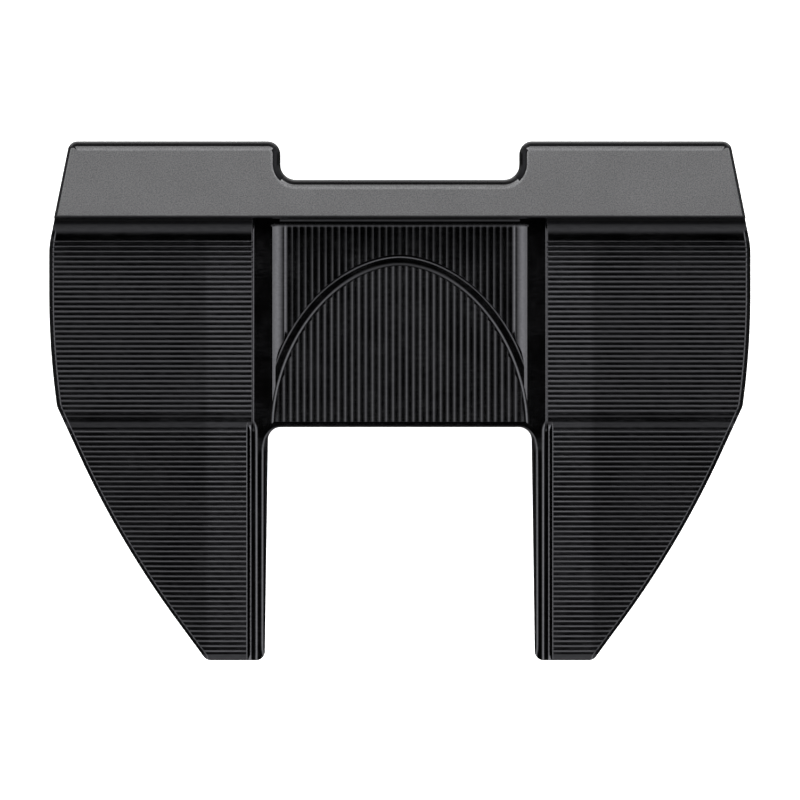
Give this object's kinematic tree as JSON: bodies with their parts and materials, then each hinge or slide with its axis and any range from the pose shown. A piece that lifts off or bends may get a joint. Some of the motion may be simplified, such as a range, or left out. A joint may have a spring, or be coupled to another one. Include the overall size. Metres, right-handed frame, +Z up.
{
  "type": "mallet putter head",
  "caption": "Fang-shaped mallet putter head with a ball-wide gap at the rear, a recessed face insert, a sole plate and screw-in sole weights.",
  "frame": {"origin": "middle of the head's footprint, on the sole plane", "axes": "+X towards the toe, +Y out of the striking face, +Z up from the sole"},
  "size_m": [0.1112, 0.0822, 0.025],
  "materials": {
    "anodised_body": "black anodised, glossy milled cusps, satin topline",
    "insert_metal": "milled, dark anodised",
    "damping_rubber": "matt black",
    "plate_steel": "brushed along heel to toe",
    "screw_steel": "black oxide",
    "weight_metal": "turned, fine concentric marks"
  },
  "bodies": {
    "root": {"head_body": "anodised_body", "face_insert": "insert_metal", "face_insert_pad": "damping_rubber", "sole_plate": "plate_steel", "sole_plate_screw_1": "screw_steel", "sole_plate_screw_2": "screw_steel", "sole_plate_screw_3": "screw_steel", "sole_plate_screw_4": "screw_steel", "sole_plate_screw_5": "screw_steel", "sole_plate_screw_6": "screw_steel", "heel_front_weight": "weight_metal", "heel_front_weight_ring": "damping_rubber", "heel_tail_weight": "weight_metal", "heel_tail_weight_ring": "damping_rubber", "toe_front_weight": "weight_metal", "toe_front_weight_ring": "damping_rubber", "toe_tail_weight": "weight_metal", "toe_tail_weight_ring": "damping_rubber"}
  },
  "joints": []
}
